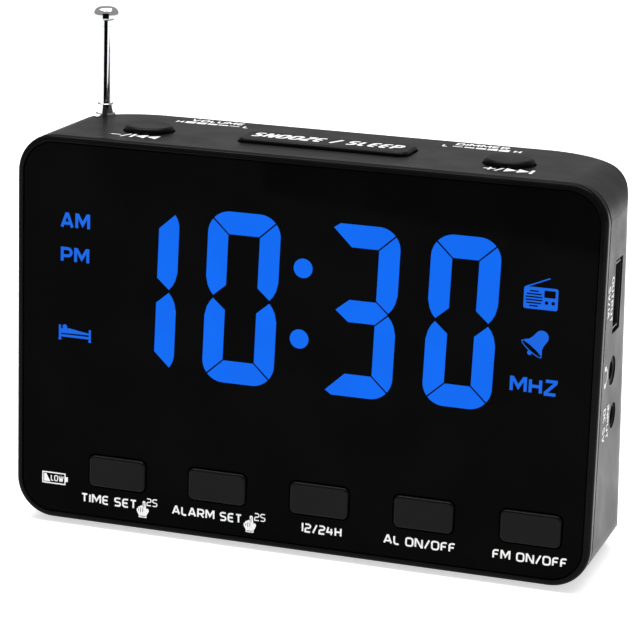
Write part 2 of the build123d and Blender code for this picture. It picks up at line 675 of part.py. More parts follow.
def cell_plane(row, x):
    """A plane across a cell's axis, x from the bay's middle; row is 1 above, -1 below."""
    middle = rear_plane(BAY_X, BAY_HEIGHT, CELL_INSET)
    point = middle.origin + middle.y_dir * (row * CELL_ROW)
    return Plane(origin=(BAY_X + x, point.Y, point.Z), x_dir=(0, 1, 0), z_dir=(1, 0, 0))


bay_end = BAY_W / 2
for name, row in (("upper_cell", 1), ("lower_cell", -1)):
    shoulder = row * (bay_end - CONTACT_T - 1)
    with BuildPart() as cell:
        disc(cell_plane(row, shoulder), CELL_R, -row * CELL_L)
        fillet(cell.edges(), 0.4)
        disc(cell_plane(row, shoulder), 1.9, row * 0.9)
    write(cell, name)

with BuildPart() as battery_contacts:
    for row in (1, -1):
        for end in (1, -1):
            plate(cell_plane(row, end * (bay_end - CONTACT_T)), 8, 9, 1, end * CONTACT_T)
        foot = cell_plane(row, -row * (bay_end - CONTACT_T - SPRING_WIRE)).origin
        length = bay_end * 2 - 2 * CONTACT_T - 1 - CELL_L - 2 * SPRING_WIRE - 0.1
        with BuildLine() as coil:
            Helix(length / 3, length, SPRING_R, center=foot, direction=(row, 0, 0))
        with BuildSketch(Plane(origin=coil.line @ 0, z_dir=coil.line % 0)) as wire:
            Circle(SPRING_WIRE)
        sweep(wire.sketch, path=coil.line, is_frenet=True)
write(battery_contacts, "battery_contacts")

# ---------------------------------------------------------------- leads


def lead(points, bend, wire_r):
    """An insulated wire through points, each given as x, depth and height."""
    with BuildLine() as route:
        FilletPolyline(*[spot(*point) for point in points], radius=bend)
    with BuildSketch(Plane(origin=route.line @ 0, z_dir=route.line % 0)) as section:
        Circle(wire_r)
    sweep(section.sketch, path=route.line)


with BuildPart() as speaker_leads:
    x = SPEAKER_X - 15.4
    for rise in (0, 1.6):
        start = 39 + rise
        end = 34 + rise
        lead(((x, MAIN_BOARD[1], start), (x, 25, start), (x, 30, end), (x, 34.5, end)), 2, 0.5)
write(speaker_leads, "speaker_leads")

with BuildPart() as battery_leads:
    for x in (-34, -31):
        lead(((x, MAIN_BOARD[1], 42), (x, 26, 42), (x, 26, 32.2)), 4, 0.5)
write(battery_leads, "battery_leads")

with BuildPart() as antenna_lead:
    top = (ANTENNA_X, 17.9, NECK_LOW - 0.65)
    lead((top, (ANTENNA_X, 17.9, 62), (-44.2, 21, 53), (-44.2, MAIN_BOARD[1] + 0.1, 53)), 1.8, 0.4)
write(antenna_lead, "antenna_lead")

# ---------------------------------------------------------------- antenna

antenna = (ANTENNA_X, ANTENNA_DEPTH)


def tube(low, high, radius, bore):
    """A round tube on the antenna's axis between two heights."""
    disc(level_plane(low), radius, high - low, at=antenna)
    if bore:
        disc(level_plane(low), bore, high - low, Mode.SUBTRACT, antenna)


with BuildPart() as antenna_bushing:
    tube(NECK_LOW, FLANGE_LOW, NECK_R, 0)
    tube(FLANGE_LOW, FLANGE_TOP, FLANGE_R, 0)
    tube(FLANGE_TOP, COLLAR_TOP, COLLAR_R, 0)
    fillet(antenna_bushing.edges().group_by(Axis.Z)[-1], 0.2)
    disc(level_plane(NECK_LOW), TUBE_R + SLIDE_CLEAR, COLLAR_TOP - NECK_LOW, Mode.SUBTRACT, antenna)
write(antenna_bushing, "antenna_bushing")

with BuildPart() as antenna_nut:
    with BuildSketch(level_plane(NECK_LOW)):
        with Locations(antenna):
            RegularPolygon(3, 6)
            Circle(NECK_R, mode=Mode.SUBTRACT)
    extrude(amount=NUT_H)
write(antenna_nut, "antenna_nut")

with BuildPart() as antenna_contact:
    disc(level_plane(NECK_LOW - 0.6), 3, 0.6, at=antenna)
    block((ANTENNA_X - 1.2, 17, NECK_LOW - 0.6), (ANTENNA_X + 1.2, ANTENNA_DEPTH, NECK_LOW))
    disc(level_plane(NECK_LOW - 0.6), TUBE_R + SLIDE_CLEAR, 0.6, Mode.SUBTRACT, antenna)
write(antenna_contact, "antenna_contact")

with BuildPart() as antenna_tube:
    tube(TUBE_BOTTOM, TUBE_TOP, TUBE_R, 0)
    tube(TUBE_BOTTOM, TUBE_BOTTOM + 2, STOP_R, 0)
    bore_low = TUBE_BOTTOM + 0.8
    bore_r = TUBE_R - TUBE_WALL
    disc(level_plane(bore_low), bore_r, TUBE_TOP - bore_low, Mode.SUBTRACT, antenna)
write(antenna_tube, "antenna_tube")

radius = TUBE_R
for name in ("antenna_section_2", "antenna_section_3"):
    radius = radius - TUBE_WALL - SLIDE_CLEAR
    with BuildPart() as section:
        tube(TUBE_BOTTOM + 1, TUBE_TOP - 0.05, radius, radius - TUBE_WALL)
    write(section, name)

with BuildPart() as antenna_rod:
    tube(TUBE_BOTTOM + 1, TUBE_TOP + 0.05, radius - TUBE_WALL - SLIDE_CLEAR, 0)
write(antenna_rod, "antenna_rod")

with BuildPart() as antenna_tip:
    disc(level_plane(TIP_LOW), TIP_R, TIP_TOP - TIP_LOW, at=antenna)
    fillet(antenna_tip.edges().group_by(Axis.Z)[-1], 1.5)
    fillet(antenna_tip.edges().group_by(Axis.Z)[0], 0.4)
    disc(level_plane(TUBE_TOP + 0.05), TUBE_R + 0.05, TIP_LOW - TUBE_TOP, at=antenna)
write(antenna_tip, "antenna_tip")
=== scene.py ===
from math import cos, radians, sin, tan

import bmesh
import bpy
from mathutils import Matrix, Vector
from mathutils.geometry import delaunay_2d_cdt


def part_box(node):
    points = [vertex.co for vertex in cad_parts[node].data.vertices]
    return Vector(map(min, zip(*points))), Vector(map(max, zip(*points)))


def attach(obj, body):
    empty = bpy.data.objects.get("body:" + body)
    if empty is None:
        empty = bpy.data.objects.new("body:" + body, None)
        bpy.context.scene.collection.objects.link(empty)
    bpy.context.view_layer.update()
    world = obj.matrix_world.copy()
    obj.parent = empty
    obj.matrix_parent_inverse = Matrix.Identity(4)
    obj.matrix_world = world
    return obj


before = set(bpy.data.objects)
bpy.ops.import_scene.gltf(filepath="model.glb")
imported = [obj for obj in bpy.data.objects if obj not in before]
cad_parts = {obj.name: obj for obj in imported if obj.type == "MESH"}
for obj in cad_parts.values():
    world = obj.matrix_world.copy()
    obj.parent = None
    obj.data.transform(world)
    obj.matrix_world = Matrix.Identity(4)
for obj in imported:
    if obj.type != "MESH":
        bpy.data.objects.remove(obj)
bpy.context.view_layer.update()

MM = 0.001

# ---------------------------------------------------------------- the case's own planes

BEZEL_LOW, BEZEL_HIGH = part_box("front_bezel")
LENS_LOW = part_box("display_lens")[0]
HOUSING_LOW, HOUSING_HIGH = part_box("rear_housing")
SNOOZE_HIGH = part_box("snooze_bar")[1]
SEAM_GAP = 0.4 * MM
SEAM_Y = HOUSING_LOW.y - SEAM_GAP
BASE_Z = BEZEL_LOW.z

# Every printed or lit mark is a slab in millimetres: its thickness, and how deep it sits in its surface.
PRINT_T = 0.03
PRINT_SUNK = 0.01


def plane(origin, across, up):
    """A matrix whose local x and y lie along across and up, in metres."""
    across = Vector(across)
    up = Vector(up)
    normal = across.cross(up)
    rows = [list(across), list(up), list(normal)]
    matrix = Matrix(rows).transposed().to_4x4()
    matrix.translation = Vector(origin)
    return matrix


FRONT = plane((0, LENS_LOW.y, BASE_Z), (1, 0, 0), (0, 0, 1))
TOP = plane((0, SEAM_Y, BEZEL_HIGH.z), (1, 0, 0), (0, 1, 0))
BAR = plane((0, SEAM_Y, SNOOZE_HIGH.z), (1, 0, 0), (0, 1, 0))
SIDE = plane((HOUSING_HIGH.x, SEAM_Y, BASE_Z), (0, 1, 0), (0, 0, 1))

# ---------------------------------------------------------------- materials


def new_material(name):
    """A material with its node tree, its shader and a handle that adds nodes."""
    material = bpy.data.materials.new(name)
    material.use_nodes = True
    return material, material.node_tree, material.node_tree.nodes["Principled BSDF"]


def node(tree, kind, **values):
    """A node with some of its inputs set by name."""
    made = tree.nodes.new(kind)
    for key, value in values.items():
        made.inputs[key.replace("_", " ")].default_value = value
    return made


def noise(tree, scale, detail=2.0):
    """Noise in the object's own space, in metres."""
    coords = tree.nodes.new("ShaderNodeTexCoord")
    made = node(tree, "ShaderNodeTexNoise", Scale=scale, Detail=detail)
    tree.links.new(coords.outputs["Object"], made.inputs["Vector"])
    return made.outputs["Fac"]


def vary_colour(tree, shader, source, dark, light):
    """The base colour runs between two tones."""
    ramp = tree.nodes.new("ShaderNodeValToRGB")
    ramp.color_ramp.elements[0].position = 0.35
    ramp.color_ramp.elements[1].position = 0.65
    ramp.color_ramp.elements[0].color = (*dark, 1)
    ramp.color_ramp.elements[1].color = (*light, 1)
    tree.links.new(source, ramp.inputs["Fac"])
    tree.links.new(ramp.outputs["Color"], shader.inputs["Base Color"])


def vary_roughness(tree, shader, source, low, high):
    """The roughness runs between two values."""
    spread = node(tree, "ShaderNodeMapRange", From_Min=0.3, From_Max=0.7, To_Min=low, To_Max=high)
    tree.links.new(source, spread.inputs["Value"])
    tree.links.new(spread.outputs["Result"], shader.inputs["Roughness"])


def add_bump(tree, shader, source, height, strength=1.0):
    """Fine relief, its height in metres."""
    bump = node(tree, "ShaderNodeBump", Strength=strength, Distance=height)
    tree.links.new(source, bump.inputs["Height"])
    tree.links.new(bump.outputs["Normal"], shader.inputs["Normal"])


def moulded(name, tone, grain, relief, roughness, specular, shift=0.15):
    """Moulded plastic: a fine grain, slow changes of tone and of gloss."""
    material, tree, shader = new_material(name)
    dark = [c * (1 - shift) for c in tone]
    light = [c * (1 + shift) for c in tone]
    vary_colour(tree, shader, noise(tree, 60.0, 3.0), dark, light)
    vary_roughness(tree, shader, noise(tree, 140.0, 4.0), *roughness)
    add_bump(tree, shader, noise(tree, 1 / (grain * MM), 1.0), relief * MM)
    shader.inputs["Specular IOR Level"].default_value = specular
    return material


def metal(name, tone, roughness, brushed=0.0):
    """Plated or drawn metal, with fine marks along its length."""
    material, tree, shader = new_material(name)
    shader.inputs["Metallic"].default_value = 1.0
    coords = tree.nodes.new("ShaderNodeTexCoord")
    stretch = node(tree, "ShaderNodeMapping", Scale=(1, 1, 0.04))
    marks = node(tree, "ShaderNodeTexNoise", Scale=2600.0, Detail=3.0)
    tree.links.new(coords.outputs["Object"], stretch.inputs["Vector"])
    tree.links.new(stretch.outputs["Vector"], marks.inputs["Vector"])
    vary_roughness(tree, shader, marks.outputs["Fac"], *roughness)
    vary_colour(tree, shader, noise(tree, 90.0), [c * 0.96 for c in tone], tone)
    if brushed:
        add_bump(tree, shader, marks.outputs["Fac"], brushed * MM)
    return material


def lit(name, colour, strength):
    """A lit mark on the display, a little uneven as its lamps shine through."""
    material, tree, shader = new_material(name)
    shader.inputs["Roughness"].default_value = 0.35
    shader.inputs["Specular IOR Level"].default_value = 0.02
    ramp = tree.nodes.new("ShaderNodeValToRGB")
    ramp.color_ramp.elements[0].position = 0.25
    ramp.color_ramp.elements[1].position = 0.75
    ramp.color_ramp.elements[0].color = (*[c * 0.94 for c in colour], 1)
    ramp.color_ramp.elements[1].color = (*colour, 1)
    tree.links.new(noise(tree, 130.0, 0.0), ramp.inputs["Fac"])
    tree.links.new(ramp.outputs["Color"], shader.inputs["Emission Color"])
    shader.inputs["Base Color"].default_value = (0.002, 0.004, 0.012, 1)
    shader.inputs["Emission Strength"].default_value = strength
    return material


def ink(name, tone):
    """Screen-printed ink: slightly thin in places."""
    material, tree, shader = new_material(name)
    vary_colour(tree, shader, noise(tree, 2500.0, 3.0), [c * 0.88 for c in tone], tone)
    add_bump(tree, shader, noise(tree, 9000.0, 1.0), 0.004 * MM)
    shader.inputs["Roughness"].default_value = 0.55
    return material


# What moulded() is given: a name, a tone, grain and relief in millimetres, the range of roughness, the
# specular level and, where it isn't the usual one, the spread of the tone.
FINISHES = {
    "bezel_plastic": moulded("bezel_abs", (0.0034, 0.0034, 0.0036), 0.22, 0.002, (0.12, 0.2), 0.035),
    "housing_plastic": moulded("housing_abs", (0.0076, 0.0076, 0.0078), 0.32, 0.008, (0.34, 0.44), 0.16),
    "lens_gloss": moulded("lens_acrylic", (0.002, 0.002, 0.0021), 6.0, 0.0015, (0.03, 0.07), 0.008),
    "button_plastic": moulded("button_abs", (0.0028, 0.0028, 0.003), 0.25, 0.006, (0.3, 0.4), 0.085),
    "wheel_plastic": moulded("wheel_abs", (0.012, 0.012, 0.0125), 0.25, 0.008, (0.4, 0.5), 0.3),
    "foot_rubber": moulded("foot_rubber", (0.02, 0.02, 0.02), 0.5, 0.03, (0.7, 0.85), 0.25),
    "chrome_plate": metal("chrome", (0.66, 0.67, 0.68), (0.04, 0.1)),
    "steel": metal("dark_nickel", (0.07, 0.07, 0.069), (0.3, 0.45), 0.004),
    "white_plastic": moulded("white_polystyrene", (0.75, 0.75, 0.73), 0.3, 0.004, (0.4, 0.5), 0.4, 0.03),
    "lit_blue": lit("segment_light", (0.003, 0.148, 0.92), 1.0),
    "led_body": moulded("led_resin", (0.7, 0.66, 0.4), 0.2, 0.002, (0.2, 0.35), 0.5, 0.05),
    "board_green": moulded("board_mask", (0.01, 0.09, 0.03), 0.35, 0.01, (0.3, 0.45), 0.5, 0.3),
    "chip_black": moulded("chip_epoxy", (0.015, 0.015, 0.016), 0.1, 0.006, (0.5, 0.65), 0.4),
    "can_sleeve": moulded("capacitor_sleeve", (0.01, 0.014, 0.05), 0.3, 0.002, (0.2, 0.3), 0.5),
    "coil_copper": metal("coil_copper", (0.85, 0.36, 0.16), (0.2, 0.35), 0.02),
    "socket_black": moulded("socket_nylon", (0.004, 0.004, 0.0043), 0.2, 0.006, (0.5, 0.65), 0.15),
    "contact_gold": metal("contact_gold", (0.9, 0.66, 0.28), (0.15, 0.28)),
    "cone_paper": moulded("cone_paper", (0.02, 0.019, 0.018), 0.6, 0.05, (0.8, 0.95), 0.1, 0.4),
    "magnet_ferrite": moulded("magnet_ferrite", (0.03, 0.03, 0.032), 0.3, 0.02, (0.5, 0.7), 0.4, 0.3),
    "cell_jacket": moulded("cell_jacket", (0.02, 0.1, 0.045), 0.4, 0.003, (0.2, 0.35), 0.5, 0.1),
    "wire_jacket": moulded("wire_pvc", (0.35, 0.012, 0.01), 0.3, 0.004, (0.35, 0.5), 0.4, 0.1),
    "ribbon_grey": moulded("ribbon_pvc", (0.3, 0.3, 0.31), 0.5, 0.02, (0.4, 0.5), 0.4, 0.1),
}
LIT_MARK = lit("icon_light", (0.01, 0.14, 0.8), 1.0)
WHITE_INK = ink("white_ink", (0.86, 0.86, 0.85))
GREY_INK = ink("grey_ink", (0.78, 0.78, 0.77))

for name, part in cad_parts.items():
    slot = part.material_slots[0].material.name.split(".")[0]
    part.material_slots[0].material = FINISHES[slot]

# ---------------------------------------------------------------- flat printed and lit marks


def arc(x, y, radius, start, stop, steps=10):
    """Points on an arc, its angles in degrees."""
    angles = [radians(start + (stop - start) * i / steps) for i in range(steps + 1)]
    return [(x + radius * cos(a), y + radius * sin(a)) for a in angles]


def ring(x, y, radius, steps=28):
    """Points on a whole circle."""
    return arc(x, y, radius, 0, 360, steps)[:-1]


def bar(x0, y0, x1, y1):
    """The corners of an upright rectangle."""
    return [(x0, y0), (x1, y0), (x1, y1), (x0, y1)]


def rounded_bar(x0, y0, x1, y1, radius):
    """A rectangle with round corners."""
    points = arc(x1 - radius, y0 + radius, radius, -90, 0, 6)
    points += arc(x1 - radius, y1 - radius, radius, 0, 90, 6)
    points += arc(x0 + radius, y1 - radius, radius, 90, 180, 6)
    points += arc(x0 + radius, y0 + radius, radius, 180, 270, 6)
    return points


def softened(path, radius):
    """A path whose corners are eased where a point carries a third value."""
    points = [Vector(path[0][:2])]
    for before, corner, after in zip(path, path[1:], path[2:]):
        middle = Vector(corner[:2])
        if len(corner) == 2:
            points.append(middle)
            continue
        into = Vector(before[:2]) - middle
        out = Vector(after[:2]) - middle
        start = middle + into.normalized() * min(radius, into.length / 2)
        stop = middle + out.normalized() * min(radius, out.length / 2)
        for i in range(6):
            t = i / 5
            points.append(start * (1 - t) ** 2 + middle * 2 * t * (1 - t) + stop * t**2)
    points.append(Vector(path[-1][:2]))
    return points[:1] + [b for a, b in zip(points, points[1:]) if (b - a).length > 0.01]


def strokes(path, width, radius=0.0):
    """A path of the given width: a rectangle for each step and a mitre outside each turn."""
    points = softened(path, radius)
    steps = [(b - a).normalized() for a, b in zip(points, points[1:])]
    outlines = []
    for a, b, step in zip(points, points[1:], steps):
        side = Vector((-step.y, step.x)) * (width / 2)
        outlines.append([tuple(p) for p in (a + side, a - side, b - side, b + side)])
    for corner, into, out in zip(points[1:], steps, steps[1:]):
        turn = into.cross(out)
        if abs(turn) > 0.01:
            reach = -width / 2 if turn > 0 else width / 2
            first, last = (Vector((-step.y, step.x)) * reach for step in (into, out))
            tip = (first + last) / (1 + into.dot(out))
            outlines.append([tuple(p) for p in (corner, corner + first, corner + tip, corner + last)])
    return outlines


def counter_clockwise(points):
    """The same outline, its points in the order that the filling needs."""
    area = sum(a[0] * b[1] - b[0] * a[1] for a, b in zip(points, points[1:] + points[:1]))
    return points if area > 0 else points[::-1]


def mark(name, shapes, where, material, body="case", holes=()):
    """A thin closed slab: overlapping shapes, in millimetres, joined into one and less the holes."""
    points = []
    faces = []
    for outline in (*shapes, *holes):
        faces.append(list(range(len(points), len(points) + len(outline))))
        points += [Vector(p) for p in counter_clockwise(outline)]
    corners, _, triangles, _, _, sources = delaunay_2d_cdt(points, [], faces, 1, 1e-4)
    work = bmesh.new()
    made = [work.verts.new((p.x, p.y, -PRINT_SUNK)) for p in corners]
    for triangle, inside in zip(triangles, sources):
        if inside and max(inside) < len(shapes):
            work.faces.new([made[i] for i in triangle])
    bmesh.ops.delete(work, geom=[v for v in made if not v.link_faces], context="VERTS")
    raised = bmesh.ops.extrude_face_region(work, geom=list(work.faces))
    tops = [g for g in raised["geom"] if isinstance(g, bmesh.types.BMVert)]
    bmesh.ops.translate(work, verts=tops, vec=(0, 0, PRINT_T))
    bmesh.ops.recalc_face_normals(work, faces=list(work.faces))
    bmesh.ops.transform(work, matrix=where @ Matrix.Scale(MM, 4), verts=list(work.verts))
    mesh = bpy.data.meshes.new(name)
    work.to_mesh(mesh)
    work.free()
    mesh.materials.append(material)
    piece = bpy.data.objects.new(name, mesh)
    bpy.context.scene.collection.objects.link(piece)
    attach(piece, body)


# Each letter is its width and its strokes in a unit square. A third value rounds that corner.
LETTERS = {
    " ": (0.35,),
    "/": (0.6, [(0, -0.05), (1, 1.05)]),
    "A": (0.9, [(0, 0), (0.44, 1), (0.56, 1), (1, 0)], [(0.2, 0.3), (0.8, 0.3)]),
    "C": (0.75, [(1, 1), (0, 1, 1), (0, 0, 1), (1, 0)]),
    "D": (0.8, [(0, 0.5), (0, 1), (1, 1, 1), (1, 0, 1), (0, 0), (0, 0.5)]),
    "E": (0.72, [(1, 1), (0, 1, 1), (0, 0, 1), (1, 0)], [(0, 0.5), (0.9, 0.5)]),
    "F": (0.7, [(1, 1), (0, 1, 1), (0, 0)], [(0, 0.5), (0.85, 0.5)]),
    "H": (0.78, [(0, 0), (0, 1)], [(1, 0), (1, 1)], [(0, 0.5), (1, 0.5)]),
    "I": (0.19, [(0, 0), (0, 1)]),
    "L": (0.65, [(0, 1), (0, 0, 1), (1, 0)]),
    "M": (1.0, [(0, 0), (0, 1), (0.1, 1), (0.5, 0.3), (0.9, 1), (1, 1), (1, 0)]),
    "N": (0.85, [(0, 0), (0, 1), (0.12, 1), (0.88, 0), (1, 0), (1, 1)]),
    "O": (0.85, [(0, 0.5), (0, 1, 1), (1, 1, 1), (1, 0, 1), (0, 0, 1), (0, 0.5)]),
    "P": (0.78, [(0, 0), (0, 1), (1, 1, 1), (1, 0.42, 1), (0, 0.42)]),
    "R": (0.8, [(0, 0), (0, 1), (1, 1, 1), (1, 0.42, 1), (0, 0.42)], [(0.5, 0.42), (1, 0)]),
    "S": (0.75, [(1, 1), (0, 1, 1), (0, 0.5, 1), (1, 0.5, 1), (1, 0, 1), (0, 0)]),
    "T": (0.75, [(0, 1), (1, 1)], [(0.5, 1), (0.5, 0)]),
    "U": (0.8, [(0, 1), (0, 0, 1), (1, 0, 1), (1, 1)]),
    "V": (0.85, [(0, 1), (0.44, 0), (0.56, 0), (1, 1)]),
    "W": (1.1, [(0, 1), (0.24, 0), (0.3, 0), (0.5, 0.8), (0.7, 0), (0.76, 0), (1, 1)]),
    "Z": (0.78, [(0, 1), (1, 1), (1, 0.9), (0, 0.1), (0, 0), (1, 0)]),
    "1": (0.3, [(0, 1), (1, 1), (1, 0)]),
    "2": (0.74, [(0, 1), (1, 1, 1), (1, 0.5, 1), (0, 0.5, 1), (0, 0), (1, 0)]),
    "4": (0.8, [(0.2, 1), (0, 0.35), (1, 0.35)], [(0.75, 0.8), (0.75, 0)]),
    "5": (0.74, [(1, 1), (0, 1), (0, 0.52), (1, 0.52, 1), (1, 0, 1), (0, 0)]),
}
LETTER_GAP = 0.11


def lettering(text, box, width, radius, lean=0.0):
    """The strokes of some plain capitals that fill a box: its left, right, low and high."""
    left, right, low, high = box
    total = sum(LETTERS[c][0] for c in text) + LETTER_GAP * (len(text) - 1)
    scale = (right - left) / total
    tall = high - low - width
    outlines = []
    for c in text:
        wide = max(LETTERS[c][0] * scale - width, 0)
        for path in LETTERS[c][1:]:
            points = []
            for x, y, *eased in path:
                rise = width / 2 + y * tall
                points.append((left + width / 2 + x * wide + rise * lean, low + rise, *eased))
            outlines += strokes(points, width, radius)
        left += (LETTERS[c][0] + LETTER_GAP) * scale
    return outlines


# ---------------------------------------------------------------- the time on the display

UPRIGHT_W = 4.25
LEVEL_H = 4.55
OUTER_R = 4.5
MITRE = 40
MITRE_GAP = 2.0
INNER_GAP = 0.2
SLANT = tan(radians(1.5))


def digit_shapes(width, top):
    """The outlines of segments a to g, and of a and d with no upright on their left."""
    middle = top / 2
    r = OUTER_R
    upright = arc(r, top - r, r, 180, 180 - MITRE + MITRE_GAP, 8)
    upright += [(UPRIGHT_W, top - LEVEL_H - INNER_GAP), (UPRIGHT_W, middle + 2.55)]
    upright += [(1.65, middle + 0.3), (0.95, middle + 1.15), (0.4, middle + 2.25), (0, middle + 4.0)]
    level = arc(r, top - r, r, 180 - MITRE - MITRE_GAP, 90, 8)
    level += arc(width - r, top - r, r, 90, MITRE + MITRE_GAP, 8)
    level += [(width - UPRIGHT_W - INNER_GAP, top - LEVEL_H), (UPRIGHT_W + INNER_GAP, top - LEVEL_H)]
    pointed = [(UPRIGHT_W + 0.3, top - LEVEL_H), (0.7, top - 0.9), (2.0, top)] + level[9:-1]
    half = LEVEL_H / 2 - 0.05
    inner = UPRIGHT_W + 0.4
    centre = [(1.95, middle), (inner, middle + half), (width - UPRIGHT_W, middle + half)]
    centre += [(width - 1.8, middle), (width - UPRIGHT_W, middle - half), (inner, middle - half)]

    def across(points):
        return [(width - x, y) for x, y in points]

    def over(points):
        return [(x, top - y) for x, y in points]

    return {
        "a": level, "b": across(upright), "c": over(across(upright)), "d": over(level),
        "e": over(upright), "f": upright, "g": centre, "a_open": pointed, "d_open": over(pointed),
    }


# Each digit's name, left and low edges, width, height and lit segments.
DIGITS = (
    ("hours_tens", -41.3, 33.2, 15.0, 34.75, ("b", "c")),
    ("hours_units", -20.2, 33.2, 15.1, 34.85, ("a", "b", "c", "d", "e", "f")),
    ("minutes_tens", 5.0, 33.4, 14.35, 34.55, ("a_open", "b", "c", "d_open", "g")),
    ("minutes_units", 25.5, 33.8, 13.9, 34.15, ("a", "b", "c", "d", "e", "f")),
)
for label, left, low, width, height, segments in DIGITS:
    shapes = digit_shapes(width, height)
    outlines = [[(left + x + y * SLANT, low + y) for x, y in shapes[key]] for key in segments]
    mark(f"display_{label}", outlines, FRONT, FINISHES["lit_blue"])
COLON_R = 1.95
colon = [ring(0.5, 58.2, COLON_R), ring(0.1, 43.9, COLON_R)]
mark("display_colon", colon, FRONT, FINISHES["lit_blue"])

# ---------------------------------------------------------------- lit words and icons


def lit_icon(name, shapes, holes=()):
    """A lit word or sign on the lens."""
    mark(name, shapes, FRONT, LIT_MARK, holes=holes)


LIT_STROKE = 0.62
LIT_R = 0.9
LIT_WORDS = (
    ("AM", (-51.0, -44.6, 61.2, 64.5)),
    ("PM", (-50.9, -44.7, 54.2, 57.4)),
    ("MHZ", (43.0, 52.4, 38.3, 41.5)),
)
for word, box in LIT_WORDS:
    lit_icon(f"display_{word.lower()}", lettering(word, box, LIT_STROKE, LIT_R))

bed = [bar(-51.2, 38.2, -50.75, 41.2), bar(-44.65, 38.2, -44.2, 40.7), bar(-50.8, 38.75, -44.6, 39.25)]
bed += [bar(-51.3, 38.1, -50.6, 38.35), bar(-44.75, 38.1, -44.1, 38.35), ring(-49.9, 40.85, 0.5, 20)]
bed += [[(-50.8, 39.5), (-44.65, 39.62), (-44.65, 39.95), (-46.4, 40.2), (-48.9, 40.6), (-50.8, 40.45)]]
lit_icon("display_bed", bed)

GRILLE_X = 46.9
GRILLE_Y = 57.15
GRILLE_R = 1.68
SLOT_T = 0.28
windows = [bar(48.9, 57.5, 51.1, 58.9), ring(49.4, 56.5, 0.36, 14), ring(50.7, 56.5, 0.36, 14)]
for row in range(6):
    rise = -1.45 + row * 0.58
    half = (GRILLE_R**2 - rise**2) ** 0.5
    low = GRILLE_Y + rise - SLOT_T / 2
    windows.append(bar(GRILLE_X - half, low, GRILLE_X + half, low + SLOT_T))
radio = [rounded_bar(44.9, 55.1, 51.6, 59.4, 0.4), *strokes([(45.2, 59.3), (49.9, 61.3)], 0.24)]
lit_icon("display_radio", radio, windows)

BELL = (48.0, 48.6, radians(-38))


def on_bell(points):
    """From the bell's own upright axes to the lens."""
    x0, y0, turn = BELL
    c = cos(turn)
    s = sin(turn)
    return [(x0 + x * c - y * s, y0 + x * s + y * c) for x, y in points]


dome = arc(0, 1.35, 1.35, 0, 180, 14)
dome += [(-1.4, 0.3), (-1.65, -0.55), (-2.35, -1.35), (2.35, -1.35), (1.65, -0.55), (1.4, 0.3)]
lip = [(2.6 * x, -1.75 + 0.62 * y) for x, y in ring(0, 0, 1, 20)]
lip_hole = [(2.4 * x, -1.75 + 0.42 * y) for x, y in ring(0, 0, 1, 20)]
lit_icon("display_bell", [on_bell(dome)])
lit_icon("display_bell_lip", [on_bell(lip)], [on_bell(lip_hole)])
lit_icon("display_bell_clapper", [on_bell(ring(0.2, -2.6, 0.45, 16))])

# ---------------------------------------------------------------- printed labels on the front

LABEL_LOW = 4.2
LABEL_HIGH = 6.15
LABEL_STROKE = 0.36
LABEL_R = 0.55
FRONT_LABELS = (
    ("time_set", "TIME SET", -46.0, -33.7),
    ("alarm_set", "ALARM SET", -26.0, -10.9),
    ("hours", "12/24H", 1.6, 10.2),
    ("alarm", "AL ON/OFF", 18.9, 33.7),
    ("radio", "FM ON/OFF", 41.2, 56.2),
)
for label, text, left, right in FRONT_LABELS:
    shapes = lettering(text, (left, right, LABEL_LOW, LABEL_HIGH), LABEL_STROKE, LABEL_R)
    mark(f"label_{label}", shapes, FRONT, WHITE_INK)

# A pointing hand: the cuff, up the right side to the raised finger, and down over the folded ones.
HAND = [(0.55, 0), (2.25, 0), (2.25, 0.5), (2.75, 1.5), (2.6, 2.0), (2.15, 1.95)]
HAND += [(1.95, 3.45), (1.62, 3.6), (1.35, 3.4), (1.4, 2.45), (1.05, 2.6)]
HAND += [(0.8, 2.35), (0.5, 2.3), (0.35, 1.95), (0.1, 1.8), (0.1, 1.3), (0.55, 0.5)]
HAND_GAPS = [bar(0.75, 0.22, 2.05, 0.36), *strokes([(0.95, 1.1), (1.0, 2.1)], 0.13)]
HAND_GAPS += strokes([(1.4, 1.2), (1.42, 2.1)], 0.13) + strokes([(1.62, 2.2), (1.67, 3.25)], 0.14)
HAND_GAPS += strokes([(0.52, 1.25), (0.55, 1.85)], 0.11)
for label, left, digits in (("time", -33.8, (-31.6, -29.2)), ("alarm", -10.6, (-8.3, -5.9))):
    hand, *gaps = [[(left + x, 2.6 + y) for x, y in points] for points in (HAND, *HAND_GAPS)]
    mark(f"label_{label}_hand", [hand], FRONT, WHITE_INK, holes=gaps)
    held = lettering("2S", (*digits, 5.2, 6.85), 0.22, 0.5)
    mark(f"label_{label}_hold", held, FRONT, WHITE_INK)

battery = [bar(-54.7, 7.25, -49.5, 9.75), bar(-49.55, 8.0, -49.0, 9.0)]
mark("label_battery", battery, FRONT, WHITE_INK, holes=[bar(-54.45, 7.5, -49.75, 9.5)])
charge = [(-54.3, 7.65), (-52.9, 7.65), (-53.8, 9.35), (-54.3, 9.35)]
mark("label_battery_charge", [charge], FRONT, WHITE_INK)
low_word = lettering("LOW", (-52.8, -49.95, 7.85, 9.15), 0.2, 0.3)
mark("label_battery_low", low_word, FRONT, WHITE_INK)

# ---------------------------------------------------------------- printed labels on the top

snooze = lettering("SNOOZE / SLEEP", (-16.0, 15.0, 10.9, 15.0), 0.72, 1.0, 0.2)
mark("label_snooze", snooze, BAR, WHITE_INK, body="snooze")


def skip_mark(x, low, high, way):
    """Two triangles and a bar, as on a track button; way is 1 to the right and -1 to the left."""
    shapes = [bar(x + way * 5.0, low, x + way * 5.6, high)]
    for start in (x, x + way * 2.5):
        shapes.append([(start, low), (start + way * 2.4, (low + high) / 2), (start, high)])
    return shapes


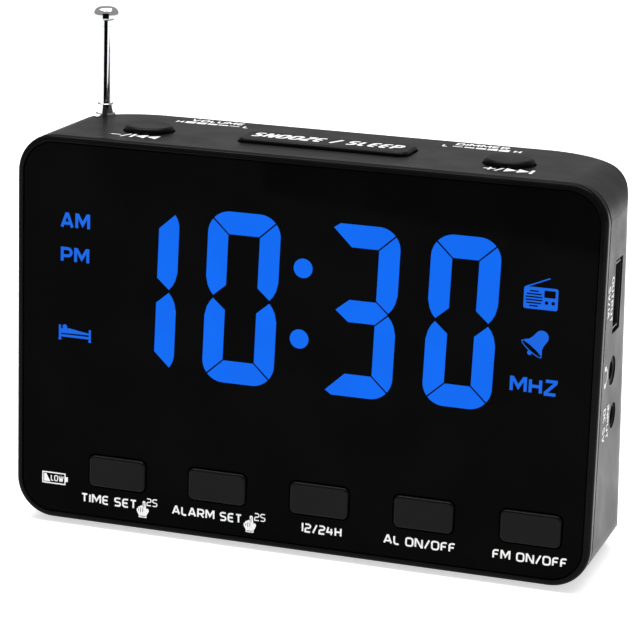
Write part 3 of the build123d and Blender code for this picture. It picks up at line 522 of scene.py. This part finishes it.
SIGN_T = 0.45
minus = strokes([(-43.0, 4.55), (-40.9, 4.55)], SIGN_T) + strokes([(-40.4, 3.0), (-39.2, 6.1)], SIGN_T)
mark("label_minus", minus + skip_mark(-33.0, 3.0, 6.2, -1), TOP, WHITE_INK)
plus = strokes([(34.0, 5.0), (36.4, 5.0)], SIGN_T) + strokes([(35.2, 3.8), (35.2, 6.2)], SIGN_T)
plus += strokes([(36.6, 3.3), (37.8, 6.6)], SIGN_T)
mark("label_plus", plus + skip_mark(38.3, 3.3, 6.6, 1), TOP, WHITE_INK)


SCALE_Y = 23.7


def level_bars(left, right, first, last):
    """Five bars whose half height runs from first to last."""
    step = (right - left) / 5
    shapes = []
    for i in range(5):
        x = left + i * step
        half = first + (last - first) * i / 4
        shapes.append(bar(x, SCALE_Y - half, x + 0.86 * step, SCALE_Y + half))
    return shapes


# The word over each wheel's scale, the letters at the scale's ends, and its bars.
WHEEL_LABELS = (
    ("VOLUME", (-34.0, -22.6), ("H", -36.4, -34.9), ("L", -21.8, -20.5), (-34.4, -22.4, 0.93, 0.25)),
    ("DIMMER", (22.7, 33.6), ("L", 20.5, 21.8), ("H", 35.2, 36.7), (22.6, 34.6, 0.25, 0.93)),
)
for text, span, left_end, right_end, bars in WHEEL_LABELS:
    shapes = lettering(text, (*span, 25.3, 27.5), 0.42, 0.6) + level_bars(*bars)
    for letter, left, right in (left_end, right_end):
        shapes += lettering(letter, (left, right, 22.7, 24.7), 0.38, 0.4)
    mark(f"label_{text.lower()}", shapes, TOP, WHITE_INK)

# ---------------------------------------------------------------- printed labels by the sockets

# Laid out along a line, then turned a quarter turn, so that the words read downward.
SIDE_LABELS = (
    ("output", "OUTPUT", (-61.2, -52.2, 4.3, 6.2)),
    ("output_rating", "5V/1A", (-59.8, -53.6, 1.6, 3.4)),
    ("input", "INPUT", (-35.2, -28.4, 6.3, 8.2)),
    ("input_rating", "DC 5V", (-35.2, -28.4, 3.2, 5.2)),
)
for label, text, box in SIDE_LABELS:
    turned = [[(y, -x) for x, y in outline] for outline in lettering(text, box, 0.36, 0.5)]
    mark(f"label_{label}", turned, SIDE, GREY_INK)
HEADPHONES_Z = 41.8
headphones = strokes(arc(3.2, HEADPHONES_Z, 1.6, -80, 80, 12), 0.34)
for z in (HEADPHONES_Z - 1.7, HEADPHONES_Z + 1.7):
    headphones.append(rounded_bar(2.2, z - 0.45, 3.7, z + 0.45, 0.3))
mark("label_headphones", headphones, SIDE, GREY_INK)

# ---------------------------------------------------------------- floor, light and camera

FLOOR_R = 4.0
bpy.ops.mesh.primitive_circle_add(vertices=96, radius=FLOOR_R, fill_type="NGON")
floor = bpy.context.object
floor.name = "floor"
material, tree, shader = new_material("floor_paper")
vary_colour(tree, shader, noise(tree, 3.0), (0.84, 0.84, 0.845), (0.88, 0.88, 0.885))
shader.inputs["Roughness"].default_value = 0.8
shader.inputs["Specular IOR Level"].default_value = 0.2
shader.inputs["Emission Color"].default_value = (1, 1, 1, 1)
shader.inputs["Emission Strength"].default_value = 0.6
floor.data.materials.append(material)


def softbox(name, where, aim, size, power):
    """A square area light that faces a point."""
    data = bpy.data.lights.new(name, "AREA")
    data.size = size
    data.energy = power
    lamp = bpy.data.objects.new(name, data)
    bpy.context.scene.collection.objects.link(lamp)
    lamp.location = where
    lamp.rotation_euler = (Vector(aim) - Vector(where)).to_track_quat("-Z", "Y").to_euler()
    return lamp


MIDDLE = (0.0, 0.0, 0.04)
softbox("overhead", (-0.1, 0.1, 1.2), MIDDLE, 1.3, 12.0)
strip = softbox("strip", (0.0, -0.1, 1.0), MIDDLE, 1.2, 7.0)
strip.data.shape = "RECTANGLE"
strip.data.size_y = 0.12

# A black flag in front of the object, hidden from the camera: the chrome reflects it as dark stripes.
FLAG_SIZE = 0.36
FLAG_AT = (0.045, -0.3, 0.06)
bpy.ops.mesh.primitive_plane_add(size=FLAG_SIZE, location=FLAG_AT)
flag = bpy.context.object
flag.name = "black_flag"
flag.rotation_euler = (radians(90), 0, radians(18))
material, tree, shader = new_material("flag_cloth")
vary_colour(tree, shader, noise(tree, 300.0), (0.001, 0.001, 0.001), (0.003, 0.003, 0.003))
shader.inputs["Roughness"].default_value = 0.95
shader.inputs["Specular IOR Level"].default_value = 0.0
flag.data.materials.append(material)
flag.visible_camera = False
flag.visible_diffuse = False
flag.visible_shadow = False

world = bpy.data.worlds.new("studio")
bpy.context.scene.world = world
world.use_nodes = True
world.node_tree.nodes["Background"].inputs["Color"].default_value = (1, 1, 1, 1)
world.node_tree.nodes["Background"].inputs["Strength"].default_value = 0.4

bpy.context.scene.view_settings.view_transform = "Standard"

CAMERA_AT = Vector((0.1641, -0.4918 + SEAM_Y, 0.1804 + BASE_Z))
YAW = radians(18.07)
RISE = radians(14.39)
ROLL = radians(1.785)
SENSOR_W = 36.0
FOCAL_LENGTH = 153.0
back = Vector((sin(YAW) * cos(RISE), -cos(YAW) * cos(RISE), sin(RISE)))
right = (-back).cross(Vector((0, 0, 1))).normalized()
up = right.cross(-back)
camera_x = right * cos(ROLL) + up * sin(ROLL)
camera_y = up * cos(ROLL) - right * sin(ROLL)
pose = Matrix((camera_x, camera_y, back)).transposed().to_4x4()
pose.translation = CAMERA_AT
data = bpy.data.cameras.new("camera")
data.sensor_width = SENSOR_W
data.lens = FOCAL_LENGTH
camera = bpy.data.objects.new("camera", data)
bpy.context.scene.collection.objects.link(camera)
camera.matrix_world = pose
bpy.context.scene.camera = camera
